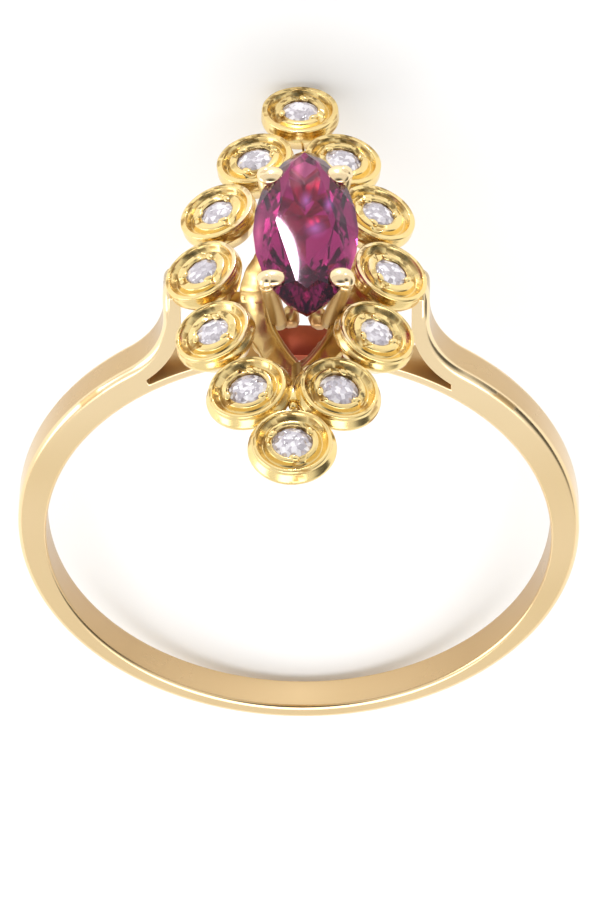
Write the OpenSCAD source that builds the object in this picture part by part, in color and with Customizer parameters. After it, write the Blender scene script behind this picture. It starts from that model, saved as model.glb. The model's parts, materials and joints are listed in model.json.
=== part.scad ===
// Gold navette ring: a raised, claw-set marquise stone inside a lozenge of
// twelve round stones in collets, on a slim band with forked shoulders.
//
// Ring axes, in which every piece is drawn: X across the finger, Y along the
// finger (-Y is the side that faces the viewer), Z from the finger hole's
// centre towards the head. lay_down() then rests the ring on its side.

/* [Band] */
// Diameter of the finger hole
bore_d = 17; // [16:0.25:20]
// Width of the band along the finger
band_w = 1.42; // [1.3:0.02:1.8]
// Thickness of the band at the back of the finger
back_t = 0.62; // [0.55:0.01:0.8]
// Thickness that the outer circle would reach under the head
front_t = 1.28; // [1.2:0.02:1.5]
// Bevel that breaks the edges of the finger hole
edge_c = 0.12; // [0.08:0.01:0.18]

/* [Forked shoulders] */
// Thickness of the upper arm, which rises to the head
arm_t = 0.66; // [0.6:0.02:0.76]
// Radius of the bend that turns the upper arm upright
arm_bend_r = 3; // [2.7:0.1:3.2]
// How far the arm stands out from the rim of the widest collet
arm_proud = 0.07; // [0.02:0.01:0.15]
// Angle by which the slot between the arms stops short of the upper arm's bend
slot_short = 3; // [1:0.5:5]
// Thickness of the lower arm, which closes the finger hole under the head
bridge_t = 0.37; // [0.33:0.01:0.42]

/* [Cluster of collets] */
// Height of the collet rims above the top of the finger hole
rim_h = 3.55; // [3.45:0.05:3.9]
// Outer diameter of a collet's rim
rim_d = 2.55; // [2.5:0.01:2.62]
// Diameter of the swollen foot under the rim
foot_d = 2.92; // [2.86:0.02:3]
// How far neighbouring feet run into each other where they are soldered
weld = 0.12; // [0.08:0.02:0.16]
// Depth of a collet
collet_h = 0.95; // [0.9:0.05:1.1]
// Radius of the dome that tilts the collets sideways
dome_side_r = 7; // [6.5:0.25:9]
// Radius of the dome that tilts the collets along the finger
dome_long_r = 70; // [60:5:100]

/* [Inside a collet] */
// Thickness of the thin outer lip
lip_t = 0.11; // [0.09:0.01:0.13]
// Diameter of the groove's floor between lip and inner ring
groove_d = 2.06; // [2.02:0.01:2.1]
// Depth of the groove
groove_h = 0.26; // [0.2:0.01:0.3]
// Wall of the raised inner ring that holds the stone
inner_wall = 0.235; // [0.21:0.005:0.25]
// Radius of the grains pushed over the stone
grain_r = 0.14; // [0.12:0.01:0.16]
// Radius of the graver's cut behind each grain
graver_r = 0.24; // [0.2:0.01:0.26]

/* [Round stones] */
// Diameter of a round stone
round_d = 1.28; // [1.2:0.01:1.3]
// Depth of its girdle below the collet's rim
round_sink = 0.2; // [0.18:0.01:0.24]
// Clearance between a stone and the gold
stone_gap = 0.025; // [0.02:0.005:0.03]

/* [Marquise stone] */
// Length of the marquise
ruby_l = 7.5; // [7.3:0.05:7.6]
// Width of the marquise
ruby_w = 3.4; // [3.3:0.02:3.5]
// Height of its girdle above the collet rims
ruby_lift = 1.75; // [1.6:0.05:2]
// Height of the crown, from girdle to table
crown_h = 0.5; // [0.4:0.05:0.6]
// Depth of the pavilion, from girdle to keel
pavilion_h = 1.5; // [1.3:0.05:1.6]
// Thickness of the girdle
girdle_t = 0.07; // [0.05:0.01:0.1]
// How far the stone sits to the right of the cluster's centre
ruby_shift = 0.32; // [0:0.04:0.32]
// Turn of the stone and its claws, seen from above
ruby_turn = 1.5; // [-2:0.5:2]

/* [Basket] */
// Length of the pointed rail under the stone
rail_l = 7.7; // [7.5:0.05:7.8]
// Width of the rail
rail_w = 2.66; // [2.6:0.02:2.8]
// How far the rail sits to the right of the cluster's centre
rail_shift = 0.24; // [0:0.04:0.28]
// Wall of the rail
rail_wall = 0.14; // [0.12:0.01:0.18]
// Height of the rail
rail_h = 0.4; // [0.35:0.05:0.5]
// Depth of the rail's top edge below the collet rims
rail_drop = 0.65; // [0.6:0.05:0.8]
// Diameter of a claw's stem
claw_d = 0.56; // [0.5:0.02:0.6]
// Radius of the bead that ends a claw
bead_r = 0.36; // [0.34:0.01:0.4]
// Distance of the beads from the middle of the stone, along the finger
claw_y = 2.42; // [2.3:0.02:2.5]
// Distance of the claws' feet from the middle of the rail, along the finger
claw_foot_y = 1.5; // [1.4:0.05:1.7]
// Width of the flat bars between the rail and the widest collets
bar_w = 0.6; // [0.5:0.02:0.7]
// Thickness of the flat bars
bar_t = 0.28; // [0.24:0.02:0.34]
// Diameter of the round bars from the rail's points to the end collets
pin_d = 0.42; // [0.38:0.02:0.48]

/* [Hidden] */
$fn = 72;
fine_fn = 180;
eps = 0.01;
gold = [0.93, 0.76, 0.38];
ruby_red = [0.55, 0.05, 0.25];
diamond_white = [0.9, 0.9, 0.95];

// Band
bore_r = bore_d / 2;
outer_r = bore_r + (back_t + front_t) / 2;
outer_lift = (front_t - back_t) / 2;

// Cluster: the feet touch, so each link between neighbours has one length, and
// these are its angles to the finger, from the widest pair to the end collet
pitch = foot_d - weld;
link_a = [9, 25, 32];
row_y = [0, pitch * cos(link_a[0]), pitch * (cos(link_a[0]) + cos(link_a[1])),
    pitch * (cos(link_a[0]) + cos(link_a[1]) + cos(link_a[2]))];
row_x = [pitch * (sin(link_a[0]) + sin(link_a[1]) + sin(link_a[2])),
    pitch * (sin(link_a[1]) + sin(link_a[2])), pitch * sin(link_a[2]), 0];
rim_z = bore_r + rim_h;
rim_r = rim_d / 2;
foot_r = foot_d / 2;
foot_round = 0.28;
foot_drop = 0.45;

// One row for each collet, clockwise from the far end: side, row, far or near,
// and the turn of its three grains
COLLET_SIDE = 0;
COLLET_ROW = 1;
COLLET_END = 2;
COLLET_TURN = 3;
collets = [[0, 3, 1, 84], [1, 2, 1, 28], [1, 1, 1, 19], [1, 0, 1, 113],
    [1, 1, -1, 102], [1, 2, -1, 88], [0, 3, -1, 42], [-1, 2, -1, 86],
    [-1, 1, -1, 84], [-1, 0, 1, 66], [-1, 1, 1, 62], [-1, 2, 1, 15]];
grain_count = 3;
grain_over = 0.04;

// Collet section
lip_in = rim_r - lip_t;
hole_r = round_d / 2 + stone_gap;
inner_r = hole_r + inner_wall;
inner_drop = 0.14;
neck_r = rim_r - 0.03;
neck_drop = 0.16;
base_r = rim_r - 0.05;
culet_r = 0.42;

// Round brilliant, as shares of its diameter
round_table = 0.57;
round_crown = 0.15;
round_girdle = 0.025;
round_pavilion = 0.43;
round_star = 0.79;
round_lower = 0.24;
pavilion_slope = 2 * round_pavilion;

// Marquise, as shares of its outline and of its crown or pavilion
ruby_z = rim_z + ruby_lift;
// Each row of the crown is a corner: its place across, along and up
ruby_table_end = 0.84;
ruby_crown = [[0.57, 0, 1], [0.2, 0.74, 1], [0, ruby_table_end, 1], [0.72, 0.4, 0.5],
    [0.38, ruby_table_end, 0.15]];
// Each row of the pavilion is a ring of corners: its outline and its depth
ruby_pavilion = [[0.87, 0.4], [0.52, 0.78]];
ruby_keel = 0.3;

// Basket
rail_z = rim_z - rail_drop;
bead_lift = 0.2;
bead_in = 0.1;
claw_out = 0.1;
bar_y = -0.45;

// Forked shoulders: the bend is tangent to the band's outer circle
side_tilt = atan(row_x[0] / dome_side_r);
arm_x = row_x[0] + rim_r * cos(side_tilt) + arm_proud;
bend_x = arm_x + arm_bend_r;
bend_z = outer_lift + sqrt(pow(outer_r + arm_bend_r, 2) - pow(bend_x, 2));
bend_a = atan2(bend_z - outer_lift, bend_x);
arm_top = rim_z - rim_r * sin(side_tilt) - 0.1;
slot_a = 90 - bend_a - slot_short;

// Resting on its side: the end collet's foot and the back edge of the band touch
// the surface, and the line between them gives the tilt
end_tilt = atan(row_y[3] / dome_long_r);
foot_c = [row_y[3] - foot_drop * sin(end_tilt) + (foot_r - foot_round) * cos(end_tilt),
    rim_z - foot_drop * cos(end_tilt) - (foot_r - foot_round) * sin(end_tilt)];
back_c = [band_w / 2, -bore_r - back_t];
rest_line = foot_c - back_c;
rest_tilt = acos(-foot_round / norm(rest_line)) - atan2(rest_line[1], rest_line[0]);
rest_drop = foot_c[0] * cos(rest_tilt) - foot_c[1] * sin(rest_tilt) + foot_round;
head_reach = max(
    row_y[3] * sin(rest_tilt) + rim_z * cos(rest_tilt) + rim_r * sin(rest_tilt - end_tilt),
    ruby_table_end * ruby_l / 2 * cos(ruby_turn) * sin(rest_tilt)
        + (ruby_z + girdle_t / 2 + crown_h) * cos(rest_tilt));
back_reach = (bore_r + back_t) * cos(rest_tilt) + band_w / 2 * sin(rest_tilt);

// Half width of a marquise outline at a given place along it
function lens_r(half_l, half_w) = (half_l * half_l + half_w * half_w) / (2 * half_w);
function lens_x(half_l, half_w, y) =
    sqrt(pow(lens_r(half_l, half_w), 2) - y * y) - lens_r(half_l, half_w) + half_w;

// The stone's outline is fuller than the rail's: halfway between a lens and an ellipse
function stone_x(half_l, half_w, y) =
    (lens_x(half_l, half_w, y) + half_w * sqrt(1 - pow(y / half_l, 2))) / 2;

// A ring of points on the stone's outline, packed closer towards its points
function stone_ring(half_l, half_w, z, count, turn) = [for (i = [0 : count - 1])
    let (a = 360 * (i + turn) / count, y = half_l * cos(a))
    [sign(sin(a)) * stone_x(half_l, half_w, y), y, z]];

// A ring of points on a circle
function round_ring(r, z, count, turn) = [for (i = [0 : count - 1])
    let (a = 360 * (i + turn) / count) [r * cos(a), r * sin(a), z]];

// A cut stone is the convex form of its facets' corners
module cut_stone(points) {
    hull() polyhedron(points, [[for (i = [0 : len(points) - 1]) i]]);
}

module lay_down() {
    translate([0, (head_reach - back_reach) / 2, rest_drop])
        rotate([90 - rest_tilt, 0, 0])
            rotate([0, 0, 180])
                children();
}

// Lens between two equal circles, moved inwards by inset
module lens(half_l, half_w, inset = 0) {
    r = lens_r(half_l, half_w);
    intersection_for (side = [-1, 1])
        translate([side * (r - half_w), 0]) circle(r = r - inset, $fn = fine_fn);
}

// Plan of an upper arm: bent strip, then upright to the widest collet
module arm_plan() {
    reach = 2 * (arm_bend_r + arm_t);
    translate([bend_x, bend_z])
        intersection() {
            difference() {
                circle(r = arm_bend_r + arm_t, $fn = fine_fn);
                circle(r = arm_bend_r, $fn = fine_fn);
            }
            polygon([[0, 0], [-reach, 0], [-reach, -reach * tan(bend_a)]]);
        }
    translate([arm_x - arm_t, bend_z - eps]) square([arm_t, arm_top - bend_z + eps]);
}

// Plan of the band: an outer circle that is lifted towards the head, so the back is
// slim, less what the saw cut and the opened fork take out of it, down to the lower
// arm. Past the cut's two ends the upper arms grow out of the whole band.
module band_plan() {
    reach = 2 * outer_r;
    difference() {
        union() {
            difference() {
                translate([0, outer_lift]) circle(r = outer_r, $fn = fine_fn);
                difference() {
                    translate([0, outer_lift])
                        polygon([[0, 0], [reach * sin(slot_a), reach * cos(slot_a)],
                            [-reach * sin(slot_a), reach * cos(slot_a)]]);
                    circle(r = bore_r + bridge_t, $fn = fine_fn);
                }
            }
            arm_plan();
            mirror([1, 0]) arm_plan();
        }
        circle(r = bore_r, $fn = fine_fn);
    }
}

// Band with its finger hole, whose edges are broken
module band() {
    rotate([90, 0, 0])
        difference() {
            linear_extrude(band_w, center = true) band_plan();
            for (side = [0, 1])
                mirror([0, 0, side])
                    translate([0, 0, band_w / 2 - edge_c - 5 * eps])
                        cylinder(r1 = bore_r - 5 * eps, r2 = bore_r + edge_c + 5 * eps,
                            h = edge_c + 10 * eps, $fn = fine_fn);
        }
}

// Places its children on the rim of one collet, with Z out of the dome
module at_collet(c) {
    x = c[COLLET_SIDE] * row_x[c[COLLET_ROW]];
    y = c[COLLET_END] * row_y[c[COLLET_ROW]];
    translate([x, y, rim_z])
        rotate([-atan(y / dome_long_r), atan(x / dome_side_r), 0])
            children();
}

// Section of a collet: lip, groove, inner ring, seat, swollen foot
module collet_section() {
    seat_drop = round_sink + round_girdle * round_d / 2 + 2 * stone_gap;
    polygon([
        [culet_r, -collet_h],
        [culet_r, -seat_drop - (hole_r - culet_r) * pavilion_slope],
        [hole_r, -seat_drop],
        [hole_r, -inner_drop],
        [inner_r, -inner_drop],
        [groove_d / 2, -groove_h],
        [lip_in, -groove_h / 2],
        [lip_in, -lip_t / 2],
        [rim_r, -lip_t / 2],
        [rim_r, -neck_drop + 0.03],
        [neck_r, -neck_drop],
        [neck_r, -foot_drop],
        [foot_r - foot_round / 2, -foot_drop - foot_round / 2],
        [base_r, -collet_h]
    ]);
    translate([rim_r - lip_t / 2, -lip_t / 2]) circle(d = lip_t, $fn = 32);
    translate([hole_r + inner_wall / 2, -inner_drop]) circle(d = inner_wall, $fn = 32);
    translate([foot_r - foot_round, -foot_drop]) circle(r = foot_round, $fn = 48);
}

// Room for a round stone, its true outline plus the clearance
module round_seat() {
    r = round_d / 2;
    rotate_extrude()
        polygon([
            [0, -round_sink - (round_pavilion + round_girdle / 2) * round_d - 2 * stone_gap],
            [r + stone_gap, -round_sink - round_girdle * r - stone_gap],
            [r + stone_gap, -round_sink + round_girdle * r + stone_gap],
            [r * round_table + stone_gap, -round_sink + round_crown * round_d + stone_gap],
            [0, -round_sink + round_crown * round_d + stone_gap]
        ]);
}

module collet(turn) {
    difference() {
        union() {
            difference() {
                rotate_extrude() collet_section();
                for (i = [0 : grain_count - 1])
                    rotate([0, 0, turn + 360 * i / grain_count])
                        translate([hole_r + graver_r, 0, graver_r / 3])
                            sphere(r = graver_r, $fn = 32);
            }
            for (i = [0 : grain_count - 1])
                rotate([0, 0, turn + 360 * i / grain_count])
                    translate([hole_r - grain_over, 0, -grain_r / 2])
                        sphere(r = grain_r, $fn = 32);
        }
        round_seat();
    }
}

// Marquise stone, grown by a clearance where it cuts the gold
module ruby_form(grow = 0) {
    half_l = ruby_l / 2 + grow;
    half_w = ruby_w / 2 + grow;
    top = girdle_t / 2 + grow;
    cut_stone(concat(
        [for (c = ruby_crown, x = [-1, 1], y = [-1, 1])
            [x * c[0] * half_w, y * c[1] * half_l, top + c[2] * crown_h]],
        stone_ring(half_l, half_w, top, 24, 0),
        stone_ring(half_l, half_w, -top, 24, 0),
        [for (c = ruby_pavilion)
            each stone_ring(c[0] * half_l, c[0] * half_w, -top - c[1] * pavilion_h, 12, 0)],
        [for (y = [-1, 1]) [0, y * ruby_keel * half_l, -top - pavilion_h]]
    ));
}

module at_ruby() {
    translate([ruby_shift, 0, ruby_z]) rotate([0, 0, ruby_turn]) children();
}

// Claws: each leans from inside the rail out to the stone's girdle and ends in a bead
// over the crown
module claws() {
    half_l = ruby_l / 2;
    half_w = ruby_w / 2;
    foot_x = lens_x(rail_l / 2, rail_w / 2, claw_foot_y) - (rail_wall + claw_d) / 2;
    edge_x = stone_x(half_l, half_w, claw_y);
    r = lens_r(half_l, half_w);
    out = [edge_x + r - half_w, claw_y] / norm([edge_x + r - half_w, claw_y]);
    for (x = [-1, 1], y = [-1, 1]) {
        foot = [rail_shift - ruby_shift + x * foot_x, y * claw_foot_y, rail_z - rail_h - ruby_z];
        head = [x * (edge_x + claw_out * out[0]), y * (claw_y + claw_out * out[1]), bead_lift];
        lean = head - foot;
        at_ruby() {
            translate(foot)
                rotate([0, acos(lean[2] / norm(lean)), atan2(lean[1], lean[0])])
                    cylinder(d = claw_d, h = norm(lean));
            translate(head) sphere(r = claw_d / 2 + 2 * eps);
            translate([x * (edge_x - bead_in * out[0]), y * (claw_y - bead_in * out[1]), bead_lift])
                sphere(r = bead_r);
        }
    }
}

// Rail under the stone, with flat bars to the widest collets and round bars to the ends
module basket() {
    half_l = rail_l / 2;
    half_w = rail_w / 2;
    translate([rail_shift, 0, rail_z - rail_h])
        linear_extrude(rail_h)
            difference() {
                lens(half_l, half_w);
                lens(half_l, half_w, rail_wall);
            }
    for (side = [-1, 1]) {
        start = rail_shift + side * (half_w - rail_wall / 2);
        end = side * (row_x[0] - hole_r);
        translate([(start + end) / 2, bar_y, rail_z - bar_t])
            cube([abs(end - start), bar_w, bar_t], center = true);
        translate([rail_shift / 2, side * (half_l - 2 * rail_wall), rail_z - rail_h / 2])
            rotate([-90 * side, 0, 0])
                cylinder(d = pin_d, h = row_y[3] - hole_r - half_l);
    }
}

module gold_mount() {
    color(gold)
        difference() {
            union() {
                band();
                for (c = collets) at_collet(c) collet(c[COLLET_TURN]);
                basket();
                claws();
            }
            at_ruby() ruby_form(stone_gap);
        }
}

module ruby() {
    color(ruby_red) at_ruby() ruby_form();
}

// Round brilliant: table, star corners, girdle, lower corners, culet
module diamond(i) {
    r = round_d / 2;
    corner = cos(22.5);
    crown = round_crown * round_d;
    pavilion = round_pavilion * round_d;
    top = round_girdle * r;
    color(diamond_white)
        at_collet(collets[i])
            translate([0, 0, -round_sink])
                rotate([0, 0, 30 * i])
                    cut_stone(concat(
                        round_ring(r * round_table, top + crown, 8, 0),
                        round_ring(r * round_star,
                            top + crown * (1 - round_star * corner) / (1 - round_table), 8, 0.5),
                        round_ring(r, top, 16, 0),
                        round_ring(r, -top, 16, 0),
                        round_ring(r * round_lower,
                            -top - pavilion * (1 - round_lower * corner), 8, 0.5),
                        [[0, 0, -top - pavilion]]
                    ));
}

lay_down() gold_mount();
lay_down() ruby();
lay_down() diamond(0);  // diamond_01
lay_down() diamond(1);  // diamond_02
lay_down() diamond(2);  // diamond_03
lay_down() diamond(3);  // diamond_04
lay_down() diamond(4);  // diamond_05
lay_down() diamond(5);  // diamond_06
lay_down() diamond(6);  // diamond_07
lay_down() diamond(7);  // diamond_08
lay_down() diamond(8);  // diamond_09
lay_down() diamond(9);  // diamond_10
lay_down() diamond(10);  // diamond_11
lay_down() diamond(11);  // diamond_12
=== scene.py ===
"""Navette ring: gold band with forked shoulders, twelve collets and a marquise stone in claws."""
import json
import math

import bmesh
import bpy
from mathutils import Matrix, Vector, noise


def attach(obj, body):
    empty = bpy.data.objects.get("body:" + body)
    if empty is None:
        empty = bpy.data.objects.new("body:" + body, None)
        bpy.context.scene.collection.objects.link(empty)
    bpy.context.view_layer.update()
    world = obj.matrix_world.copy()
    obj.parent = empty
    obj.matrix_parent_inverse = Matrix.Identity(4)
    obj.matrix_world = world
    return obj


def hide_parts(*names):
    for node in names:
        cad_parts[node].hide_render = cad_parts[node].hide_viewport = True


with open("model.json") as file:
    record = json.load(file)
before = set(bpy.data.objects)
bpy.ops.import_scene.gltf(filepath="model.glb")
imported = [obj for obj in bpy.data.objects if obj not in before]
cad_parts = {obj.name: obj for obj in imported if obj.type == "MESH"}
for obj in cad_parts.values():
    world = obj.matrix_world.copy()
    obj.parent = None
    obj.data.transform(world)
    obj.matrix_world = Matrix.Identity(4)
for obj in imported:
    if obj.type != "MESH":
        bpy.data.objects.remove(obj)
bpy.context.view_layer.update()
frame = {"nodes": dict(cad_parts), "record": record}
# The handwork is as uneven on every run
noise.seed_set(7)

# Sizes in millimetres, the same as in the part's source
BORE_R, BAND_W, BACK_T, FRONT_T = 8.5, 1.42, 0.62, 1.28
ARM_T, ARM_BEND_R, ARM_PROUD, BRIDGE_T = 0.66, 3.0, 0.07, 0.37
RIM_R, FOOT_R, WELD = 1.275, 1.46, 0.12
DOME_SIDE_R, DOME_LONG_R = 7.0, 70.0
ROUND_R, STONE_GAP = 0.64, 0.025
GRAIN_R = 0.14
RUBY_L, RUBY_W, RUBY_LIFT, RUBY_SHIFT, RUBY_TURN = 7.5, 3.4, 1.75, 0.32, math.radians(1.5)
RAIL_L, RAIL_W, RAIL_SHIFT, RAIL_WALL, RAIL_H, RAIL_DROP = 7.7, 2.66, 0.24, 0.14, 0.4, 0.65
BAR_W, BAR_T, PIN_D, BAR_Y = 0.6, 0.28, 0.42, -0.45
CLAW_R, BEAD_R, CLAW_Y, CLAW_FOOT_Y = 0.28, 0.36, 2.42, 1.5
CLAW_OUT, BEAD_IN, BEAD_LIFT = 0.1, 0.1, 0.2

OUTER_R = BORE_R + (BACK_T + FRONT_T) / 2
OUTER_LIFT = (FRONT_T - BACK_T) / 2
RIM_Z = BORE_R + 3.55
RUBY_Z = RIM_Z + RUBY_LIFT
RAIL_Z = RIM_Z - RAIL_DROP
HOLE_R = ROUND_R + STONE_GAP
LINKS = [math.radians(a) for a in (32, 25, 9)]
PITCH = 2 * FOOT_R - WELD
ROW_X = [PITCH * sum(math.sin(a) for a in LINKS[:3 - row]) for row in range(4)]
ROW_Y = [PITCH * sum(math.cos(a) for a in LINKS[3 - row:]) for row in range(4)]
SIDE_TILT = math.atan(ROW_X[0] / DOME_SIDE_R)
ARM_X = ROW_X[0] + RIM_R * math.cos(SIDE_TILT) + ARM_PROUD
ARM_TOP = RIM_Z - RIM_R * math.sin(SIDE_TILT) - 0.1
BEND_X = ARM_X + ARM_BEND_R
BEND_Z = OUTER_LIFT + math.sqrt((OUTER_R + ARM_BEND_R) ** 2 - BEND_X ** 2)
BEND_A = math.atan2(BEND_Z - OUTER_LIFT, BEND_X)

# Collets clockwise from the far end: side, row, far or near, turn of the grains in degrees
COLLETS = [(0, 3, 1, 84), (1, 2, 1, 28), (1, 1, 1, 19), (1, 0, 1, 113),
           (1, 1, -1, 102), (1, 2, -1, 88), (0, 3, -1, 42), (-1, 2, -1, 86),
           (-1, 1, -1, 84), (-1, 0, 1, 66), (-1, 1, 1, 62), (-1, 2, 1, 15)]

# Every piece is drawn in millimetres on the ring's own axes, with the finger hole along Y and the head
# at the top. REST lays it on its side in the row's frame, by the place and axis of the finger hole.
HOLE = frame["record"]["mounts"][0]
HOLE_AXIS = Vector(HOLE["axis"]).normalized()
TURN = Matrix(((-1, 0, 0), (0, -HOLE_AXIS.y, -HOLE_AXIS.z), (0, -HOLE_AXIS.z, HOLE_AXIS.y)))
REST = Matrix.Translation(HOLE["pos_m"]) @ TURN.to_4x4() @ Matrix.Scale(0.001, 4)


# Shapes

def soften(bm, geom, size, steps, affect="EDGES", clamp=True):
    """Rounds edges or corners, and returns the new faces."""
    return bmesh.ops.bevel(bm, geom=geom, offset=size, offset_type="OFFSET", segments=steps, profile=0.5,
                           affect=affect, clamp_overlap=clamp, material=-1)["faces"]


def is_sharp(edge):
    return len(edge.link_faces) == 2 and edge.calc_face_angle() > 0.9


def thicken(bm, way):
    """Gives a flat form its thickness."""
    grown = bmesh.ops.extrude_face_region(bm, geom=bm.faces[:])["geom"]
    bmesh.ops.translate(bm, vec=way, verts=[v for v in grown if isinstance(v, bmesh.types.BMVert)])
    bmesh.ops.recalc_face_normals(bm, faces=bm.faces[:])


def add(target, source, matrix=None):
    """Puts a finished mesh into another one, with its faces pointing outwards."""
    bmesh.ops.recalc_face_normals(source, faces=source.faces[:])
    if matrix is not None:
        bmesh.ops.transform(source, matrix=matrix, verts=source.verts[:])
    mesh = bpy.data.meshes.new("part")
    source.to_mesh(mesh)
    source.free()
    target.from_mesh(mesh)
    bpy.data.meshes.remove(mesh)


def turned(table, steps):
    """A section turned all the way round Z: rows of a radius, a height and the corner's rounding."""
    bm = bmesh.new()
    corners = [bm.verts.new((r, 0, z)) for r, z, _ in table]
    bm.faces.new(corners)
    for corner, (_, _, size) in zip(corners, table):
        if size:
            soften(bm, [corner], size, 3, affect="VERTICES")
    bmesh.ops.delete(bm, geom=bm.faces[:], context="FACES_ONLY")
    bmesh.ops.spin(bm, geom=bm.verts[:] + bm.edges[:], cent=(0, 0, 0), axis=(0, 0, 1), dvec=(0, 0, 0),
                   angle=math.tau, steps=steps, use_merge=True, use_duplicate=False)
    bmesh.ops.remove_doubles(bm, verts=bm.verts[:], dist=1e-5)
    return bm


def arc(centre, radius, start, end, count):
    return [(centre[0] + radius * math.cos(start + (end - start) * i / count),
             centre[1] + radius * math.sin(start + (end - start) * i / count)) for i in range(count + 1)]


# The saw cut of each shoulder ends at its own angle from the head, to the right and to the left
SLOT_ENDS = {1: math.radians(34.8), -1: math.radians(33.2)}
# How much the upper arm thins towards the head, and the band narrows towards its back
ARM_THINNING, BACK_NARROWING = 0.07, 0.08
# Roundings of the band's edges, with their steps: outside, round the finger hole, and all others
OUTSIDE_ROUND, HOLE_ROUND, EDGE_ROUND = (0.26, 6), (0.16, 5), (0.04, 2)


def half_plan(slot_a):
    """Half the band's outline, from the back over the shoulder to the top of the finger hole."""
    bend, steps = (BEND_X, BEND_Z), 22
    inner = [(x + ARM_THINNING * (1 - i / steps), z) for i, (x, z) in
             enumerate(arc(bend, ARM_BEND_R + ARM_T, math.pi, math.pi + BEND_A, steps))]
    slot = [p for p in inner if math.atan2(p[0], p[1]) < slot_a]
    return (arc((0, OUTER_LIFT), OUTER_R, -math.pi / 2, BEND_A, 130)[:-1]
            + arc(bend, ARM_BEND_R, math.pi + BEND_A, math.pi, 26)
            + [(ARM_X, ARM_TOP), (ARM_X - ARM_T + ARM_THINNING, ARM_TOP)]
            + slot
            + arc((0, 0), BORE_R + BRIDGE_T, math.pi / 2 - slot_a, math.pi / 2, 40)
            + arc((0, 0), BORE_R, math.pi / 2, -math.pi / 2, 160))


def band():
    bm = bmesh.new()
    for side, slot_a in SLOT_ENDS.items():
        outline = half_plan(slot_a)
        bm.faces.new([bm.verts.new((side * x, -BAND_W / 2, z)) for x, z in outline])
    bmesh.ops.remove_doubles(bm, verts=bm.verts[:], dist=1e-4)
    thicken(bm, (0, BAND_W, 0))

    def is_outer(edge):
        x, _, z = (edge.verts[0].co + edge.verts[1].co) / 2
        from_bend = math.hypot(abs(x) - BEND_X, z - BEND_Z)
        on_back = math.hypot(x, z - OUTER_LIFT) > OUTER_R - 0.05 and math.atan2(z, abs(x)) < BEND_A
        on_arm = z > BEND_Z - 0.1 and abs(abs(x) - ARM_X) < 0.02
        return on_back or on_arm or abs(from_bend - ARM_BEND_R) < 0.05

    def is_hole(edge):
        x, _, z = (edge.verts[0].co + edge.verts[1].co) / 2
        return abs(math.hypot(x, z) - BORE_R) < 0.02

    # an edge beside a face that is already rounded is left as it is
    done = bm.faces.layers.int.new("done")
    for chosen, (size, steps) in ((is_outer, OUTSIDE_ROUND), (is_hole, HOLE_ROUND), (is_sharp, EDGE_ROUND)):
        edges = [e for e in bm.edges if is_sharp(e) and chosen(e) and not any(f[done] for f in e.link_faces)]
        for face in soften(bm, edges, size, steps, clamp=False):
            face[done] = 1
    for v in bm.verts:
        v.co.y *= 1 - BACK_NARROWING * max(0.0, -v.co.z / BORE_R)
    return bm


# The graver's cuts: how deep, long and wide they are, and the slant that they run on
CUT_DEPTH, CUT_LONG, CUT_WIDE, CUT_SLANT = 0.13, 0.25, 0.2, 0.5
# The grains' shape as shares of their radius, their turn, and how far handwork is off true
GRAIN_SHAPE, GRAIN_TURN, OFF_TRUE = (0.8, 1.3, 0.6), -0.5, 0.008


def clamp(value):
    return max(0.0, min(1.0, value))


def collet_table(hole, rim, foot):
    """Section of a collet, by the radius of the hole over the crown, of the rim's inside and of the foot."""
    over = -0.14 + 0.7 * (HOLE_R - hole)
    return [
        (0.42, -0.95, 0), (0.42, -0.477, 0), (HOLE_R, -0.266, 0), (HOLE_R, -0.16, 0), (hole, over, 0),
        (hole + 0.02, -0.04, 0.01), (hole + 0.08, 0.01, 0.03), (0.84, -0.01, 0.05), (0.88, -0.15, 0.02),
        (0.95, -0.22, 0.03), (rim - 0.06, -0.1, 0), (rim - 0.01, -0.03, 0.01), (rim, 0, 0.02),
        (RIM_R, 0, 0.05), (RIM_R, -0.13, 0.01), (RIM_R + 0.01, -0.17, 0.01), (foot, -0.36, 0.08),
        (foot - 0.03, -0.47, 0.06), (1.0, -0.95, 0.04)]


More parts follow.
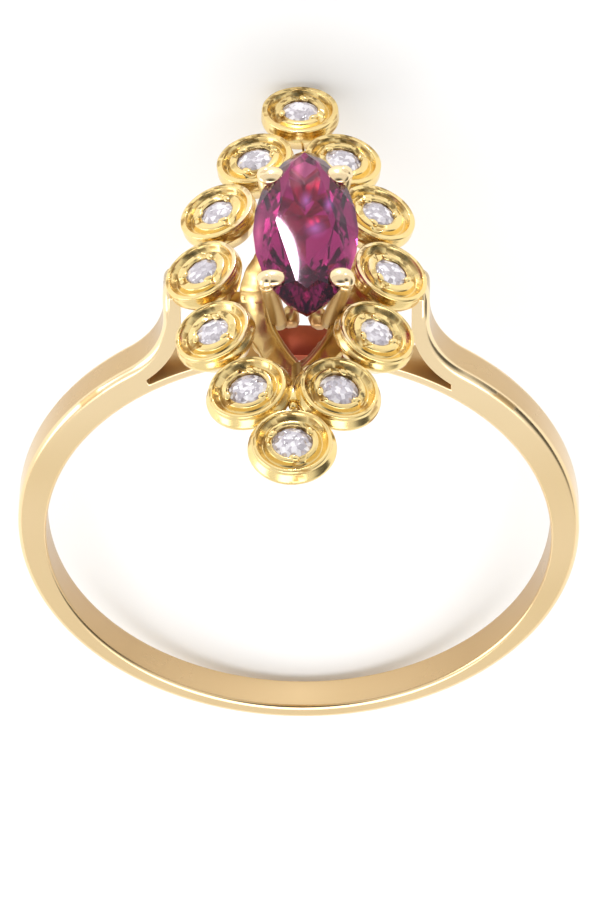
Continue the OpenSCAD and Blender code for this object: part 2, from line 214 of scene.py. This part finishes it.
def collet(turn, hole, rim, foot, place):
    """A collet with its graver's cuts and the grains pushed over the stone.

    With it comes each point's painted shade, in the hollows and darker under the rim's far side. The place
    picks its own unevenness.
    """
    bm = turned(collet_table(hole, rim, foot), 96)
    shading = []
    for v in bm.verts:
        radius, cut = v.co.xy.length, 0.0
        for i in range(3):
            a = math.radians(turn + 120 * i)
            out = v.co.x * math.cos(a) + v.co.y * math.sin(a)
            side = v.co.y * math.cos(a) - v.co.x * math.sin(a)
            # the cut starts at the stone and runs on a slant into the groove
            along = (out - hole - 0.17) / CUT_LONG
            across = (side - 0.1 + (out - 0.8) * CUT_SLANT) / CUT_WIDE
            depth = 1 - along ** 2 - across ** 2
            if out > 0 and depth > 0 and v.co.z > -0.22 and radius < 0.97:
                cut = max(cut, math.sqrt(depth))
        if radius > hole + 0.03:
            v.co.z -= CUT_DEPTH * cut * (1 if v.co.z > -0.1 else 0.3)
        # painted shade: in the cuts, on the wall round the stone and most on its far side, in the groove,
        # and darkest under the rim's far side
        far = v.co.y / radius
        wall = clamp(0.4 + 0.85 * far - 0.45 * v.co.x / radius) if radius < hole + 0.1 else 0.0
        shade = clamp(3 * (far - 0.4)) if rim - 0.12 < radius < rim - 0.005 else 0.75 * wall
        groove = max(0.15, far) if 0.86 < radius < rim - 0.005 else 0.0
        on_top = v.co.z > -0.3
        shading.append((max(1.5 * cut, wall, 0.5 * groove), 0.9 * shade) if on_top else (0.0, 0.0))
        v.co += OFF_TRUE * noise.noise_vector((v.co + place) * 1.6)
    for i in range(3):
        grain = bmesh.new()
        bmesh.ops.create_uvsphere(grain, u_segments=16, v_segments=10, radius=GRAIN_R)
        bmesh.ops.scale(grain, vec=GRAIN_SHAPE, verts=grain.verts[:])
        add(bm, grain, Matrix.Rotation(math.radians(turn + 120 * i), 4, "Z")
            @ Matrix.Translation((hole + 0.05, -0.06, -0.03)) @ Matrix.Rotation(GRAIN_TURN, 4, "Z"))
    return bm, shading


def on_rim(side, row, end):
    """Where a collet stands on the head's dome."""
    x, y = side * ROW_X[row], end * ROW_Y[row]
    return (Matrix.Translation((x, y, RIM_Z)) @ Matrix.Rotation(math.atan(x / DOME_SIDE_R), 4, "Y")
            @ Matrix.Rotation(-math.atan(y / DOME_LONG_R), 4, "X"))


def lens_r(half_l, half_w):
    return (half_l ** 2 + half_w ** 2) / (2 * half_w)


def lens_x(half_l, half_w, y):
    """Half width of a marquise outline at a place along it."""
    return math.sqrt(lens_r(half_l, half_w) ** 2 - y * y) - lens_r(half_l, half_w) + half_w


def lens_ring(half_l, half_w, wall, high):
    """An upright ring on a marquise outline."""
    bm = bmesh.new()
    r, loops = lens_r(half_l, half_w), []
    for inset in (0, wall):
        tip = math.sqrt((r - inset) ** 2 - (r - half_w) ** 2)
        ys = [tip * math.sin(math.pi / 2 * (i / 24 - 1)) for i in range(49)]
        right = [(math.sqrt((r - inset) ** 2 - y * y) - r + half_w, y) for y in ys]
        ring = [bm.verts.new((x, y, 0)) for x, y in right + [(-x, -y) for x, y in right[1:-1]]]
        loops += [bm.edges.new((v, ring[i - 1])) for i, v in enumerate(ring)]
    bmesh.ops.bridge_loops(bm, edges=loops)
    thicken(bm, (0, 0, high))
    rims = [e for e in bm.edges if is_sharp(e) and abs(e.verts[0].co.z - e.verts[1].co.z) < 0.01]
    soften(bm, rims, 0.035, 3)
    return bm


def flat_bar(length, width, thick):
    bm = bmesh.new()
    bmesh.ops.create_cube(bm, size=1)
    bmesh.ops.scale(bm, vec=(length, width, thick), verts=bm.verts[:])
    soften(bm, bm.edges[:], 0.06, 3)
    return bm


def round_bar(radius, length, rounding=0.0):
    bm = bmesh.new()
    bmesh.ops.create_cone(bm, cap_ends=True, segments=24, radius1=radius, radius2=radius, depth=length)
    if rounding:
        soften(bm, [e for e in bm.edges if is_sharp(e)], rounding, 3)
    return bm


def lump(place, reach):
    """A drop of solder, uneven as it set."""
    bm = bmesh.new()
    bmesh.ops.create_icosphere(bm, subdivisions=3, radius=1)
    bmesh.ops.scale(bm, vec=reach, verts=bm.verts[:])
    for v in bm.verts:
        v.co += 0.06 * noise.noise_vector(v.co * 3.5 + Vector(place)) + 0.02 * noise.noise_vector(v.co * 11)
    return bm


ALONG = Matrix.Rotation(math.pi / 2, 4, "X")
# The short bar between the near collets and the solder at its end: radius, length, place
LINK_R, LINK_L, LINK_Y, LINK_Z, LINK_DROP_R = 0.2, 0.62, -5.55, RIM_Z - 0.15, 0.15
# The solder that ran from the rail: how far it reaches past the rail, its width, height and shift
FLOW_END, FLOW_SIDE, FLOW_W, FLOW_H, FLOW_SHIFT = 0.1, 0.62, 0.8, 0.25, Vector((-0.12, -0.45, -0.02))
# Solder inside the near claws' feet: place from the rail's top, and reach
LUMPS = [((-0.18, -1.19, -0.32), (0.3, 0.36, 0.4)), ((0.73, -1.23, -0.32), (0.34, 0.36, 0.4))]
# The near round bar is whole, and the far one is filed thin
PIN_R = {-1: PIN_D / 2, 1: PIN_D / 9}


def basket():
    bm = bmesh.new()
    add(bm, round_bar(LINK_R, LINK_L, 0.05), Matrix.Translation((0, LINK_Y, LINK_Z)) @ ALONG)
    drop = bmesh.new()
    bmesh.ops.create_icosphere(drop, subdivisions=3, radius=LINK_DROP_R)
    add(bm, drop, Matrix.Translation((0, LINK_Y - 0.42, LINK_Z - 0.05)))
    rail_foot = Vector((RAIL_SHIFT, 0, RAIL_Z - RAIL_H))
    add(bm, lens_ring(RAIL_L / 2, RAIL_W / 2, RAIL_WALL, RAIL_H), Matrix.Translation(rail_foot))
    flow = lens_ring(RAIL_L / 2 + FLOW_END, RAIL_W / 2 + FLOW_SIDE, FLOW_W, FLOW_H)
    bmesh.ops.subdivide_edges(flow, edges=flow.edges[:], cuts=1, use_grid_fill=True)
    bmesh.ops.translate(flow, vec=rail_foot + FLOW_SHIFT, verts=flow.verts[:])
    for v in flow.verts:
        v.co += 0.06 * noise.noise_vector(v.co * 1.8) + 0.025 * noise.noise_vector(v.co * 6)
    add(bm, flow)
    for place, reach in LUMPS:
        add(bm, lump(place, reach), Matrix.Translation(Vector(place) + Vector((0, 0, RAIL_Z))))
    pin_l = ROW_Y[3] - HOLE_R - RAIL_L / 2
    for side in (-1, 1):
        start = RAIL_SHIFT + side * (RAIL_W / 2 - RAIL_WALL / 2)
        end = side * (ROW_X[0] - HOLE_R)
        add(bm, flat_bar(abs(end - start), BAR_W, BAR_T),
            Matrix.Translation(((start + end) / 2, BAR_Y, RAIL_Z - BAR_T)))
        pin_y = side * (ROW_Y[3] - HOLE_R - 2 * RAIL_WALL - pin_l / 2)
        add(bm, round_bar(PIN_R[side], pin_l),
            Matrix.Translation((RAIL_SHIFT / 2, pin_y, RAIL_Z - RAIL_H / 2)) @ ALONG)
    return bm


# Claw tips as the setter left them: side, end, and size across, along and high as shares of the plain bead
TIPS = [(-1, 1, 1.27, 1.05, 0.6), (1, 1, 1.12, 1.1, 0.6),
        (-1, -1, 1.38, 0.95, 0.6), (1, -1, 1.2, 1.1, 0.65)]


def claws():
    bm = bmesh.new()
    half_l, half_w = RUBY_L / 2, RUBY_W / 2
    foot_x = lens_x(RAIL_L / 2, RAIL_W / 2, CLAW_FOOT_Y) - (RAIL_WALL + 2 * CLAW_R) / 2
    edge_x = (lens_x(half_l, half_w, CLAW_Y) + half_w * math.sqrt(1 - (CLAW_Y / half_l) ** 2)) / 2
    out = Vector((edge_x + lens_r(half_l, half_w) - half_w, CLAW_Y)).normalized()
    at = Matrix.Translation((RUBY_SHIFT, 0, RUBY_Z)) @ Matrix.Rotation(RUBY_TURN, 4, "Z")
    for side, end, across, along, high in TIPS:
        foot = Vector((RAIL_SHIFT - RUBY_SHIFT + side * foot_x, end * CLAW_FOOT_Y, RAIL_Z - 0.25 - RUBY_Z))
        head = Vector((side * (edge_x + CLAW_OUT * out.x), end * (CLAW_Y + CLAW_OUT * out.y), BEAD_LIFT))
        lean = head - foot
        stem = bmesh.new()
        bmesh.ops.create_cone(stem, cap_ends=True, segments=32, radius1=CLAW_R * 0.95, radius2=CLAW_R,
                              depth=lean.length)
        bmesh.ops.subdivide_edges(stem, edges=[e for e in stem.edges if e.calc_length() > 1], cuts=7)
        upright = lean.to_track_quat("Z", "Y").to_matrix().to_4x4()
        add(bm, stem, at @ Matrix.Translation((foot + head) / 2) @ upright)
        knee = bmesh.new()
        bmesh.ops.create_uvsphere(knee, u_segments=32, v_segments=20, radius=CLAW_R * 1.02)
        add(bm, knee, at @ Matrix.Translation(head))
        tip = bmesh.new()
        bmesh.ops.create_uvsphere(tip, u_segments=40, v_segments=28, radius=BEAD_R)
        bmesh.ops.scale(tip, vec=(across, along, high), verts=tip.verts[:])
        add(bm, tip, at @ Matrix.Translation((side * (edge_x - BEAD_IN * out.x),
                                              end * (CLAW_Y - BEAD_IN * out.y), BEAD_LIFT + 0.05)))
    return bm


def tone_and_painted_light(co, part):
    """The mount's tone and painted light at a point, each from 0 to 1.

    Painted red light from the marquise, the head's deeper yellow, painted shade in the recesses, and the
    worn faces, rougher and darkened with painted shade.
    """
    x, y, z = co
    along_rail = max(-RAIL_L / 2, min(RAIL_L / 2, y))
    inside = abs(x - RAIL_SHIFT) < lens_x(RAIL_L / 2, RAIL_W / 2, along_rail) - 0.04
    head = 1.0 if part != "band" and z < RIM_Z + 0.3 else 0.0
    red = painted_shade = worn_and_shaded = 0.0
    if part == "band":
        out, lifted = math.hypot(x, z), math.hypot(x, z - OUTER_LIFT)
        bend = math.hypot(abs(x) - BEND_X, z - BEND_Z)
        slot_wall = bend > ARM_BEND_R + 0.45 and lifted < OUTER_R - 0.02
        arm_inside = z > BEND_Z and abs(x) < ARM_X - 0.3
        fork = out > BORE_R + BRIDGE_T - 0.02 and abs(y) < BAND_W / 2 - 0.02 and (slot_wall or arm_inside)
        bridge = BORE_R + 0.1 < z < BORE_R + BRIDGE_T + 0.1 and abs(x) < BORE_R * 0.45
        # painted red light from the marquise on the bridge inside the rail, and painted shade in the forks'
        # cuts and on the bridge under the head
        red = 1.0 if inside and bridge else 0.0
        painted_shade = 0.75 if fork and BORE_R * 0.75 < z < RIM_Z - 1.1 else 0.6 if bridge else 0.0
        # the finger hole's wall and the outer faces are rougher from wear and darkened with painted shade,
        # the wall more towards its sides and the outer faces more towards the shoulders
        if out < BORE_R + 0.01:
            worn_and_shaded = min(1.0, 0.35 + abs(x) / 9)
        elif abs(y) < BAND_W / 2 - 0.2 and (lifted > OUTER_R - 0.01 or bend < ARM_BEND_R + 0.01):
            worn_and_shaded = 0.25 + 0.6 * clamp((z - 2) / 4)
    elif part == "basket":
        near = y < -0.9 and abs(x - RAIL_SHIFT) < 0.8
        # painted red light from the marquise inside the rail's near end, and painted shade all along the
        # rail
        red = 0.5 if inside and near and z < RAIL_Z - 0.1 else 0.0
        painted_shade = 0.45 if abs(y) <= RAIL_L / 2 + 0.1 else 0.0
    elif part == "claws":
        # painted shade under the tips and growing down the stems, which also take the head's yellow low down
        low = (RUBY_Z + 0.05 - z) / 0.55
        under_tip = RUBY_Z + BEAD_LIFT - 0.2 < z < RUBY_Z + BEAD_LIFT - 0.1
        painted_shade = 0.4 if under_tip else max(0.0, min(0.8, low))
        head = max(head, clamp(low * 3))
    elif RIM_Z - 1.1 < z < RIM_Z - 0.55 and abs(x) / ROW_X[0] + abs(y) / ROW_Y[3] < 1:
        # painted shade on the collets' lower walls, under the rims inside the head
        painted_shade = 0.7
    return red, head, painted_shade, worn_and_shaded


# Materials

class Sock:
    """A socket whose operators add Math nodes."""

    def __init__(self, tree, socket):
        self.tree, self.socket = tree, socket

    def _math(self, operation, a, b):
        node = self.tree.nodes.new("ShaderNodeMath")
        node.operation = operation
        for slot_in, value in zip(node.inputs, (a, b)):
            if isinstance(value, Sock):
                self.tree.links.new(value.socket, slot_in)
            else:
                slot_in.default_value = value
        return Sock(self.tree, node.outputs[0])

    def __add__(self, other):
        return self._math("ADD", self, other)

    def __sub__(self, other):
        return self._math("SUBTRACT", self, other)

    def __mul__(self, other):
        return self._math("MULTIPLY", self, other)

    def __rsub__(self, other):
        return self._math("SUBTRACT", other, self)

    __radd__, __rmul__ = __add__, __mul__


class Nodes:
    """A node tree and its one way of adding nodes."""

    def __init__(self, tree):
        self.tree = tree

    def node(self, kind, settings=None, stops=None, **inputs):
        """Adds a node. An input is named, or is i and its number where names repeat."""
        node = self.tree.nodes.new("ShaderNode" + kind)
        for key, value in (settings or {}).items():
            setattr(node, key, value)
        if stops:
            ramp = node.color_ramp
            while len(ramp.elements) < len(stops):
                ramp.elements.new(0.5)
            for element, (place, colour) in zip(ramp.elements, stops):
                element.position, element.color = place, (*colour, 1)
        for key, value in inputs.items():
            by_number = key[0] == "i" and key[1:].isdigit()
            self.put(node.inputs[int(key[1:]) if by_number else key.replace("_", " ")], value)
        return node

    def put(self, socket, value):
        if isinstance(value, Sock):
            self.tree.links.new(value.socket, socket)
        else:
            socket.default_value = value

    def out(self, node, name=0):
        return Sock(self.tree, node.outputs[name])

    def mixed(self, share, first, second, blend="MIX"):
        """Two colours, mixed or put together by the blend's name."""
        return self.out(self.node("Mix", settings={"data_type": "RGBA", "blend_type": blend}, i0=share,
                                  i6=(*first, 1) if isinstance(first, tuple) else first,
                                  i7=(*second, 1) if isinstance(second, tuple) else second), 2)


class Finish(Nodes):
    """A material's nodes."""

    def __init__(self, name):
        self.material = bpy.data.materials.new(name)
        self.material.use_nodes = True
        super().__init__(self.material.node_tree)
        self.shader = self.tree.nodes["Principled BSDF"]

    def set(self, **inputs):
        for key, value in inputs.items():
            self.put(self.shader.inputs[key.replace("_", " ")], value)


def gold():
    f = Finish("gold")
    where = f.out(f.node("TexCoord"), "Object")
    shades = f.node("Attribute", settings={"attribute_name": "shades"})
    parts = f.node("SeparateColor", Color=f.out(shades, "Color"))
    red, head, painted_shade = (f.out(parts, i) for i in range(3))
    worn_and_shaded, dark = (f.out(f.node("Attribute", settings={"attribute_name": name}), "Fac")
                  for name in ("worn_and_shaded", "dark"))
    # painted highlight: bright grows towards the head, from 3 mm over the finger hole's middle to 7 mm over
    # it
    rise = f.out(f.node("VectorMath", settings={"operation": "DOT_PRODUCT"}, i0=where, i1=TURN.col[2]),
                 "Value")
    low = TURN.col[2] @ REST.to_translation() + 0.003
    bright = f.out(f.node("MapRange", Value=rise, From_Min=low, From_Max=low + 0.004), "Result") * (1 - head)
    slow = f.out(f.node("TexNoise", i0=where, Scale=230.0, Detail=1.0, Roughness=0.4), "Fac")
    cloud = f.out(f.node("TexNoise", i0=where, Scale=700.0, Detail=3.0, Roughness=0.5), "Fac")
    fine = f.out(f.node("TexNoise", i0=where, Scale=9000.0, Detail=3.0, Roughness=0.6), "Fac")
    band_tone = f.mixed(slow, (0.82, 0.60, 0.31), (0.97, 0.745, 0.44))
    head_tone = f.mixed(cloud, (0.88, 0.66, 0.27), (0.95, 0.74, 0.35))
    tone = f.mixed(head, band_tone, head_tone)
    # the band's shoulders lightened with painted highlight, the worn faces rougher and darkened with painted
    # shade, painted shade in the recesses and under the rims' far sides, and painted red light from the
    # marquise
    tone = f.mixed(bright * 0.6, tone, (1.0, 0.80, 0.50))
    tone = f.mixed(worn_and_shaded, tone, (0.54, 0.37, 0.19))
    tone = f.mixed(painted_shade * 0.9, tone, (0.44, 0.24, 0.055))
    tone = f.mixed(dark * 0.95, tone, (0.13, 0.085, 0.02))
    tone = f.mixed(red * 0.9, tone, (0.28, 0.025, 0.012))
    waves = f.out(f.node("Bump", Strength=1.0, Distance=0.00006, Height=slow), "Normal")
    bump = f.out(f.node("Bump", Strength=0.2, Distance=0.00001, Height=cloud * 0.6 + fine * 0.3,
                        Normal=waves), "Normal")
    f.set(Base_Color=tone, Metallic=1 - painted_shade * 0.35,
          Roughness=cloud * 0.08 + painted_shade * 0.25 + worn_and_shaded * 0.1 + 0.15, Normal=bump)
    return f.material


# Painted light in the marquise, violet patches and pink glints that glow, and painted shade towards its near
# tip: place, reach and strength
VIOLET = [((0.63, -0.4, 14.3), (0.5, 0.6, 2), 1), ((0.32, 0.9, 14.3), (0.3, 0.6, 2), 1),
          ((1.05, 0.7, 14.3), (0.25, 0.6, 2), 1)]
PINK = [((0.03, 2.5, 14.1), (0.28, 0.9, 2), 1.5), ((-1.2, -0.2, 14.0), (0.3, 1.3, 2), 1),
        ((1.95, -1.1, 14.0), (0.3, 1.2, 2), 1)]
NEAR_SHADE = [((0.3, -3.6, 14.0), (2.4, 2.6, 3), 1.3)]
BLACK = (0.0, 0.0, 0.0)


def ruby():
    f = Finish("ruby")
    where = f.out(f.node("TexCoord"), "Object")

    def patches(table):
        """Each patch fades from its strength in the middle to 0 at its reach."""
        total = 0.0
        for place, reach, strength in table:
            mapped = f.out(f.node("Mapping", settings={"vector_type": "TEXTURE"}, Vector=where,
                                  Location=REST @ Vector(place), Rotation=TURN.to_euler(),
                                  Scale=[r / 1000 for r in reach]))
            spot = f.node("TexGradient", settings={"gradient_type": "QUADRATIC_SPHERE"}, i0=mapped)
            total = total + f.out(spot, "Fac") * strength
        return total

    # the violet patches and the pink glints glow: painted light
    glow = f.mixed(1.0, f.mixed(patches(VIOLET), BLACK, (0.34, 0.15, 0.50)),
                   f.mixed(patches(PINK), BLACK, (0.50, 0.12, 0.22)), "ADD")
    tone = f.mixed(patches(NEAR_SHADE), (0.27, 0.013, 0.105), (0.07, 0.003, 0.012))
    f.set(Base_Color=tone, Roughness=0.04, IOR=1.77, Transmission_Weight=1.0,
          Specular_Tint=(0.45, 0.3, 0.42, 1), Emission_Color=glow, Emission_Strength=0.8)
    return f.material


def diamond():
    f = Finish("diamond")
    where = f.out(f.node("TexCoord"), "Object")
    cells = f.node("TexVoronoi", i0=where, Scale=6500.0)
    spark = f.out(f.node("SeparateColor", Color=f.out(cells, "Color")), 0)
    bump = f.out(f.node("Bump", Strength=0.7, Distance=0.00006, Height=f.out(cells, "Distance")), "Normal")
    # painted sparkle: the cells glow dark, grey or white in place of the facets' reflections
    sparkle = [(0.2, (0.02, 0.015, 0.02)), (0.55, (0.25, 0.22, 0.27)), (0.85, (1.0, 1.0, 1.0))]
    glow = f.out(f.node("ValToRGB", stops=sparkle, Fac=spark), "Color")
    f.set(Base_Color=(0.52, 0.48, 0.52, 1), Roughness=0.05, IOR=2.2, Transmission_Weight=0.25, Metallic=0.2,
          Emission_Color=glow, Emission_Strength=0.45, Normal=bump)
    return f.material


GOLD, RUBY, DIAMOND = gold(), ruby(), diamond()


# The ring

mount = bmesh.new()
marks = []


def join(part, bm, matrix=None, shading=()):
    """Adds a part to the mount, and notes which part each of its points is of and how it is shaded."""
    add(mount, bm, matrix)
    plain = len(mount.verts) - len(marks) - len(shading)
    marks.extend((part, *shade) for shade in list(shading) + [(0.0, 0.0)] * plain)


join("band", band())
for number, (side, row, end, turn) in enumerate(COLLETS):
    far, upper = end > 0, row < 2
    hole = 0.54 if upper else 0.58 if far else 0.63
    rim = 1.13 if row == 0 else 1.09 if far else 1.15
    foot = 1.31 if far else 1.37 if upper else 1.44
    made, shading = collet(turn, hole, rim, foot, Vector((number * 3.1, 5.7, -2.2 * number)))
    join("collet", made, on_rim(side, row, end), shading)
join("basket", basket())
join("claws", claws())

shades = mount.verts.layers.float_color.new("shades")
worn_and_shaded_layer, dark_layer = (mount.verts.layers.float.new(name) for name in ("worn_and_shaded", "dark"))
for vertex, (part, hollow_shade, dark) in zip(mount.verts, marks):
    red, head, painted_shade, worn_and_shaded = tone_and_painted_light(vertex.co, part)
    vertex[shades] = (red, head, min(1.0, max(painted_shade, hollow_shade)), 1)
    vertex[worn_and_shaded_layer], vertex[dark_layer] = worn_and_shaded, dark
bmesh.ops.transform(mount, matrix=REST, verts=mount.verts[:])
mesh = bpy.data.meshes.new("gold_mount_dressed")
mount.to_mesh(mesh)
mount.free()
mesh.materials.append(GOLD)
mesh.shade_smooth()
dressed = bpy.data.objects.new("gold_mount_dressed", mesh)
bpy.context.scene.collection.objects.link(dressed)
weighted = dressed.modifiers.new("face_weighted", "WEIGHTED_NORMAL")
weighted.keep_sharp = True
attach(dressed, "root")
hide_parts("gold_mount")
for name, node in frame["nodes"].items():
    if name != "gold_mount":
        node.data.materials.clear()
        node.data.materials.append(RUBY if name == "ruby" else DIAMOND)


# The floor and the studio

floor = bmesh.new()
bmesh.ops.create_grid(floor, x_segments=1, y_segments=1, size=0.6)
floor_mesh = bpy.data.meshes.new("floor")
floor.to_mesh(floor_mesh)
floor.free()
paper = Finish("paper")
paper.set(Base_Color=(0.93, 0.93, 0.93, 1), Roughness=0.9)
floor_mesh.materials.append(paper.material)
floor_object = bpy.data.objects.new("floor", floor_mesh)
bpy.context.scene.collection.objects.link(floor_object)

world = bpy.data.worlds.new("studio")
bpy.context.scene.world = world
world.use_nodes = True
sky = Nodes(world.node_tree)
heading = sky.out(sky.node("TexCoord"), "Generated")


def patch_of_sky(way, stops):
    """White, with greys by how far a direction points the given way, from 0 to 1."""
    place = Vector(way).normalized()
    dot = sky.out(sky.node("VectorMath", settings={"operation": "DOT_PRODUCT"}, i0=heading, i1=place),
                  "Value")
    greys = [(share, (grey, grey, grey)) for share, grey in [(0.0, 1.0), *stops]]
    return sky.out(sky.node("ValToRGB", stops=greys, Fac=dot * 0.5 + 0.5), "Color")


# White walls, dim overhead on the viewer's side, and a dark opening to the right
overhead = patch_of_sky((0, -0.4, 0.92), [(0.92, 1.0), (0.97, 0.24), (1.0, 0.06)])
opening = patch_of_sky((-1, 0.15, 0.05), [(0.88, 1.0), (0.95, 0.183), (1.0, 0.091)])
backdrop = sky.tree.nodes["Background"]
sky.put(backdrop.inputs["Color"], sky.mixed(1.0, overhead, opening, "MULTIPLY"))
sky.put(backdrop.inputs["Strength"], 0.9)


def area_light(name, shape, size, radiance, place, turn):
    light = bpy.data.lights.new(name, "AREA")
    light.shape, light.size, light.size_y = shape, size[0], size[1]
    light.energy = radiance * math.pi * size[0] * size[1]
    obj = bpy.data.objects.new(name, light)
    obj.location, obj.rotation_euler = place, turn.to_euler()
    bpy.context.scene.collection.objects.link(obj)


for name, place, size in (("soft_above", Vector((0.0, 0.2, 0.5)), (0.6, 0.5)),
                          ("soft_left", Vector((0.4, 0.05, 0.14)), (0.3, 0.22))):
    area_light(name, "RECTANGLE", size, 2.2, place, (-place).to_track_quat("-Z", "Y"))


# The camera, placed on the ring's own axes in millimetres: its angle over the finger hole's axis, its
# roll, the ring's turn in the picture, its distance, its shifts and the picture's scale and height
CAMERA_LIFT, CAMERA_ROLL, RING_SPIN = math.radians(46), math.radians(1.3), math.radians(-1.3)
AWAY, SHIFT_X, SHIFT_Y = 215.0, -0.04, -2.55
PIXELS_PER_MM, PICTURE_H, SENSOR_H = 29.6, 900, 36
level = Vector((1, 0, 0))
back = Vector((0, -math.cos(CAMERA_LIFT), math.sin(CAMERA_LIFT)))
upward = back.cross(level)
spin = Matrix.Rotation(-RING_SPIN, 3, "Y")
right = spin @ (math.cos(CAMERA_ROLL) * level + math.sin(CAMERA_ROLL) * upward)
up = spin @ (math.cos(CAMERA_ROLL) * upward - math.sin(CAMERA_ROLL) * level)
back = spin @ back
eye = AWAY * back - SHIFT_X * right - SHIFT_Y * up
camera = bpy.data.cameras.new("camera")
camera.sensor_fit, camera.sensor_height = "VERTICAL", SENSOR_H
camera.lens = SENSOR_H * PIXELS_PER_MM * AWAY / PICTURE_H
camera.clip_start, camera.clip_end = 0.01, 5
camera_object = bpy.data.objects.new("camera", camera)
axes = Matrix((TURN @ right, TURN @ up, TURN @ back)).transposed().to_4x4()
camera_object.matrix_world = Matrix.Translation(REST @ eye) @ axes
bpy.context.scene.collection.objects.link(camera_object)
bpy.context.scene.camera = camera_object
bpy.context.scene.view_settings.view_transform = "Standard"

# A small bright card, whose mirror image lies on the marquise's table beside its left edge
CARD_SIZE, CARD_AWAY, CARD_TURN, CARD_RADIANCE = (0.0015, 0.0029), 22, math.radians(15), 60
image_at = Vector((-0.62, -1.6, RUBY_Z + 0.535))
ray = (eye - image_at).normalized()
ray = Vector((-ray.x, -ray.y, ray.z))
facing = (-(TURN @ ray)).to_track_quat("-Z", "Y").to_matrix() @ Matrix.Rotation(CARD_TURN, 3, "Z")
area_light("card", "ELLIPSE", CARD_SIZE, CARD_RADIANCE, REST @ (image_at + CARD_AWAY * ray), facing)
